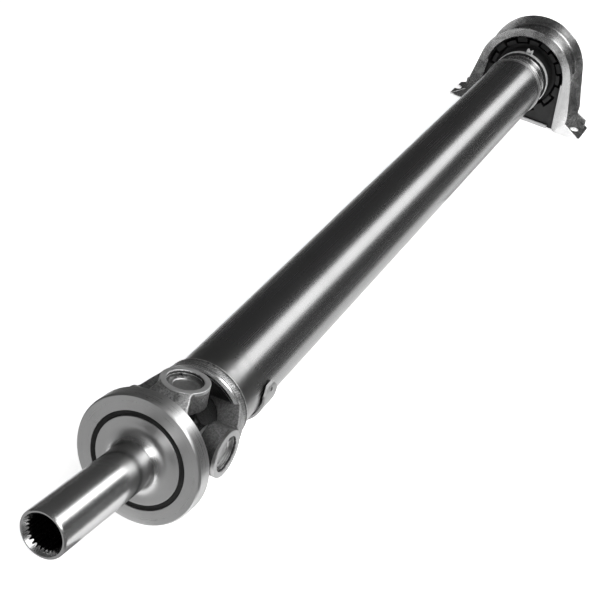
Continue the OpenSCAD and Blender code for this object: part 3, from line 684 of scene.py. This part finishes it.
EAR_FACE = 45.6
BOSS_R = 19.7
CUP_HOLE_R = 14.6
RING_BASE = EAR_FACE - 3.0
RING_PROUD = 0.05
ring_outline = rounded(
    [
        (RING_BASE, CUP_HOLE_R, 0), (RING_BASE - 1, BOSS_R - 0.8, 0.2),
        (RING_BASE + 0.2, BOSS_R + RING_PROUD, 0.3), (EAR_FACE + RING_PROUD, BOSS_R + RING_PROUD, 0.7),
        (EAR_FACE + RING_PROUD, CUP_HOLE_R, 0.8),
    ]
)
for name, place, axis, body, material in (
    ("tube_yoke_ring_right", TUBE, ear_side, "propeller_shaft", SIDE_RING_METAL),
    ("tube_yoke_ring_left", TUBE, -ear_side, "propeller_shaft", SIDE_RING_METAL),
    ("slip_yoke_ring_top", SLIP, ear_up, "slip_yoke", RING_METAL),
    ("slip_yoke_ring_bottom", SLIP, -ear_up, "slip_yoke", RING_METAL),
):
    facing = axes(joint_at, axis, place.to_3x3() @ FORWARD)
    make_turned(name, ring_outline, facing, body, material)

make(
    "tube_yoke_forging", cast("tube_yoke", "tube_yoke_forging", TUBE), TUBE,
    "propeller_shaft", DARK_CAST_METAL, ("tube_yoke",),
)

# ---- collar, weld and tube ----

weld_low, weld_high, weld_r = extent("front_weld", TUBE)
tube_low, tube_high, tube_r = extent("main_tube", TUBE)
COLLAR_R = 38.65
COLLAR_CORE_R = 33
make_turned(
    "yoke_collar",
    rounded(
        [
            (weld_high + 0.6, COLLAR_CORE_R, 0), (weld_high + 0.6, COLLAR_R - 1.2, 0.3),
            (weld_high + 1.8, COLLAR_R, 0.4), (weld_high + 2.0, COLLAR_R, 0.1),
            (weld_high + 2.2, COLLAR_R - 0.9, 0.2), (weld_high + 2.9, COLLAR_R - 0.9, 0.2),
            (weld_high + 3.1, COLLAR_R, 0.2), (weld_high + 4.8, COLLAR_R, 0.7),
            (weld_high + 6.2, COLLAR_R - 2.6, 0.5), (weld_high + 6.2, COLLAR_CORE_R, 0),
        ]
    ),
    TUBE, "propeller_shaft", COLLAR_METAL,
)

BEAD_STEPS = 720
BEAD_SCALES = 118
BEAD_CURL = 2.6
SCALE_HEIGHT = 0.11
WANDER_HEIGHT = 0.16
WANDERS_ROUND = 9


def bead(x, r, angle):
    """Overlapping scales of a weld bead, with an uneven edge."""
    if r < tube_r + 0.6:
        return x, r
    across_bead = (x - weld_low) / (weld_high - weld_low)
    scales = math.sin(angle * BEAD_SCALES + BEAD_CURL * math.cos(across_bead * math.pi))
    spot = Vector((math.cos(angle) * WANDERS_ROUND, math.sin(angle) * WANDERS_ROUND, x * 0.5))
    raised = r + SCALE_HEIGHT * scales * math.sin(across_bead * math.pi)
    return x, raised + WANDER_HEIGHT * noise.noise(spot)


# A narrow rim at the tube's side, then a crowned bead up to the collar.
CROWN_STEPS = 10
bead_outline = [
    (weld_low, tube_r - 1), (weld_low, weld_r - 0.25), (weld_low + 0.5, weld_r),
    (weld_low + 0.9, weld_r - 0.1),
]
for k in range(CROWN_STEPS + 1):
    crown = 0.55 * math.sin(math.pi * k / CROWN_STEPS)
    bead_outline.append((weld_low + 1.1 + 5.6 * k / CROWN_STEPS, tube_r + 1.75 + crown))
bead_outline.append((weld_high + 0.4, tube_r - 1))
make_turned(
    "front_weld_bead", bead_outline, TUBE, "propeller_shaft", WELD_METAL, ("front_weld",),
    BEAD_STEPS, bead,
)

WALL = 2.1
TUBE_STEPS = 256
TUBE_PARTS = 60
TUBE_END = 4
tube_part = tube_high - tube_low - 2 * TUBE_END
rear_edge = rounded(
    [(tube_low, tube_r - WALL, 0.2), (tube_low, tube_r, 0.4), (tube_low + TUBE_END, tube_r, 0)]
)
# The last corner only turns the bevel of the one before it, and is left out.
front_edge = rounded(
    [
        (tube_high - TUBE_END, tube_r, 0), (tube_high, tube_r, 0.3), (tube_high, tube_r - WALL, 0.2),
        (tube_low, 0, 0),
    ]
)[:-1]
make_turned(
    "drawn_tube",
    rear_edge
    + [(tube_low + TUBE_END + tube_part * k / TUBE_PARTS, tube_r) for k in range(1, TUBE_PARTS)]
    + front_edge,
    TUBE, "propeller_shaft", TUBE_METAL, ("main_tube",), TUBE_STEPS,
)

# ---- bracket, cushion and small pieces, eased from their CAD shapes ----

for node, name, place, width, body, slot, material in (
    ("carrier_bracket", "stamped_bracket", CARRIER, 1.15, "carrier", "stamped_steel", SHEET_METAL),
    ("rubber_cushion", "moulded_cushion", CARRIER, 0.6, "carrier", "moulded_rubber", RUBBER),
    ("base_strap", "folded_strap", CARRIER, 0.5, "carrier", "stamped_steel", STRAP_METAL),
    ("snout_clamp", "crimped_clamp", CARRIER, 0.25, "carrier", "plated_steel", CLAMP_METAL),
    ("balance_weight", "spot_welded_weight", TUBE, 0.5, "propeller_shaft", "stamped_steel", WEIGHT_METAL),
):
    make(name, eased(node, name, place, width), place, body, material, (node,))

for node, material in (
    ("bearing_shell", INNER_SHEET), ("bearing_outer_race", BEARING_METAL), ("front_seal", SEAL_RUBBER),
    ("rear_seal", SEAL_RUBBER), ("bearing_cage", BRASS), ("bearing_balls", BEARING_METAL),
    ("bearing_inner_race", BEARING_METAL), ("stub_shaft", BRIGHT_METAL), ("front_slinger", INNER_SHEET),
    ("rear_slinger", INNER_SHEET), ("stub_circlip", CLIP_METAL), ("rear_weld", REAR_WELD_METAL),
    ("side_cups", CUP_METAL), ("side_circlips", CLIP_METAL), ("side_needles", BEARING_METAL),
    ("joint_spider", CROSS_METAL), ("thrust_washers", NYLON), ("trunnion_seals", SEAL_RUBBER),
    ("grease_fitting", BRIGHT_METAL), ("bore_plug", BEARING_METAL), ("end_cups", CUP_METAL),
    ("end_circlips", CLIP_METAL), ("end_needles", BEARING_METAL),
):
    mesh = frame["nodes"][node].data
    for i in range(len(mesh.materials)):
        mesh.materials[i] = material

# ---- floor, cards, walls, light and camera, in metres ----

FLOOR_HALF = 6.0
FLOOR_DROP = 0.0005
FLOOR_GLOW = 0.8
middle = (cad_low + cad_high) / 2


def stage_sheet(name, low, high, z, material):
    """Flat sheet of the stage, between two (x, y) corners."""
    mesh = bpy.data.meshes.new(name)
    corners = [(low[0], low[1], z), (high[0], low[1], z), (high[0], high[1], z), (low[0], high[1], z)]
    mesh.from_pydata(corners, [], [(0, 1, 2, 3)])
    sheet = bpy.data.objects.new(name, mesh)
    bpy.context.scene.collection.objects.link(sheet)
    mesh.materials.append(material)
    sheet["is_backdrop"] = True
    return sheet


def glowing(name, glow):
    """Material that only gives off light."""
    material = bpy.data.materials.new(name)
    material.use_nodes = True
    tree = material.node_tree
    tree.nodes.remove(tree.nodes["Principled BSDF"])
    emission = tree.nodes.new("ShaderNodeEmission")
    emission.inputs["Color"].default_value = (glow, glow, glow, 1)
    tree.links.new(emission.outputs[0], tree.nodes["Material Output"].inputs["Surface"])
    return material


floor_paint = Paint("pale_floor", 0.0, 0.2, drawn=False)
floor_tone = floor_paint.noise(3, 2)
floor_paint.shader.inputs["Emission Color"].default_value = (1, 1, 1, 1)
floor_paint.shader.inputs["Emission Strength"].default_value = FLOOR_GLOW
floor_material = floor_paint.done(floor_paint.colour(floor_tone, grey(0.9), grey(0.93)), 0.8)
stage_sheet(
    "floor", (middle.x - FLOOR_HALF, middle.y - FLOOR_HALF), (middle.x + FLOOR_HALF, middle.y + FLOOR_HALF),
    -FLOOR_DROP, floor_material,
)

# Cards that lie beside the object and that only reflections see. They keep the pale floor out of the steel.
DARK_CARD = glowing("dark_card", 0.16)
BLACK_CARD = glowing("black_card", 0.07)
GREY_CARD = glowing("grey_card", 0.42)
LIGHT_CARD = glowing("light_card", 0.85)
RIGHT_GAP = 0.13
LEFT_GAP = 0.18
CARD_WIDTH = 4.0
CARD_HEIGHT = 0.001
BLACK_SIDE, BLACK_END = -0.115, 0.4
LIGHT_SIDE, LIGHT_END = 0.06, 0.3
FRONT_SPLIT = 0.1
damper_at = SLIP @ Vector((damper_front * MM, 0, 0))
rear_end, front_end = cad_low.x - 0.1, damper_at.x + 0.04
bracket_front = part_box("carrier_bracket")[1].x + 0.002
for name, low, high, material in (
    ("card_right", (rear_end, RIGHT_GAP), (front_end, CARD_WIDTH), DARK_CARD),
    ("card_left", (rear_end, -CARD_WIDTH), (front_end, -LEFT_GAP), DARK_CARD),
    ("card_bracket_left", (bracket_front, BLACK_SIDE), (BLACK_END, 0.0), BLACK_CARD),
    ("card_bracket_right", (bracket_front, 0.0), (LIGHT_END, LIGHT_SIDE), LIGHT_CARD),
    ("card_rear", (rear_end - CARD_WIDTH, -CARD_WIDTH), (rear_end, CARD_WIDTH), DARK_CARD),
    ("card_front_left", (front_end, -CARD_WIDTH), (front_end + CARD_WIDTH, FRONT_SPLIT), GREY_CARD),
    ("card_front_right", (front_end, FRONT_SPLIT), (front_end + CARD_WIDTH, CARD_WIDTH), DARK_CARD),
):
    card = stage_sheet(name, low, high, CARD_HEIGHT, material)
    card.visible_camera = card.visible_diffuse = card.visible_shadow = card.visible_transmission = False

# A pale wall round the floor, which only the camera sees.
WALL_MATERIAL = glowing("pale_wall", 0.93)
floor_centre = Vector((middle.x, middle.y, 0))
for i in range(4):
    turn = Matrix.Rotation(i * math.tau / 4, 4, "Z")
    corners = [(-FLOOR_HALF, FLOOR_HALF, 0), (FLOOR_HALF, FLOOR_HALF, 0)]
    corners += [(FLOOR_HALF, FLOOR_HALF, FLOOR_HALF), (-FLOOR_HALF, FLOOR_HALF, FLOOR_HALF)]
    mesh = bpy.data.meshes.new(f"pale_wall_{i}")
    mesh.from_pydata([turn @ Vector(c) + floor_centre for c in corners], [], [(0, 1, 2, 3)])
    mesh.materials.append(WALL_MATERIAL)
    wall = bpy.data.objects.new(f"pale_wall_{i}", mesh)
    bpy.context.scene.collection.objects.link(wall)
    wall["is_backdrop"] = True
    wall.visible_diffuse = wall.visible_glossy = wall.visible_shadow = wall.visible_transmission = False

WORLD_GLOW = 0.07
world = bpy.data.worlds.new("studio")
bpy.context.scene.world = world
world.use_nodes = True
world.node_tree.nodes["Background"].inputs["Color"].default_value = (WORLD_GLOW, WORLD_GLOW, WORLD_GLOW, 1)
world.node_tree.nodes["Background"].inputs["Strength"].default_value = 1.0


def softbox(name, centre, target, length, width, glow):
    """Area light facing a target, its long side along X. glow is the radiance that a mirror would show."""
    data = bpy.data.lights.new(name, "AREA")
    data.shape = "RECTANGLE"
    data.size, data.size_y = length, width
    data.energy = glow * length * width * math.pi
    light = bpy.data.objects.new(name, data)
    bpy.context.scene.collection.objects.link(light)
    back = (centre - target).normalized()
    across = (FORWARD - back * FORWARD.dot(back)).normalized()
    matrix = Matrix((across, back.cross(across), back)).transposed().to_4x4()
    matrix.translation = centre
    light.matrix_world = matrix


KEY_TILT = math.radians(35)
KEY_DISTANCE = 1.0
KEY_LENGTH = 6.0
KEY_WIDTH = 0.6
KEY_GLOW = 2.8
key_aim = Vector((0.2, 0, spin_at.z))
key_centre = key_aim + Vector((0, math.sin(KEY_TILT), math.cos(KEY_TILT))) * KEY_DISTANCE
softbox("key_strip", key_centre, key_aim, KEY_LENGTH, KEY_WIDTH, KEY_GLOW)

# The camera's place from the joint, its turn in degrees, and its lens and sensor in millimetres.
CAMERA_FROM_JOINT = Vector((0.626, 0.316, 0.6392))
CAMERA_TURN = (54.05, -9.23, 117.38)
LENS = 73.6
SENSOR_WIDTH = 36
CLIP_NEAR, CLIP_FAR = 0.02, 30
camera_data = bpy.data.cameras.new("camera")
camera_data.sensor_width = SENSOR_WIDTH
camera_data.lens = LENS
camera_data.clip_start, camera_data.clip_end = CLIP_NEAR, CLIP_FAR
camera = bpy.data.objects.new("camera", camera_data)
scene = bpy.context.scene
scene.collection.objects.link(camera)
camera.location = joint_at + CAMERA_FROM_JOINT
camera.rotation_euler = Euler([math.radians(a) for a in CAMERA_TURN], "XYZ")
scene.camera = camera
scene.view_settings.view_transform = "Standard"

low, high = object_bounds()
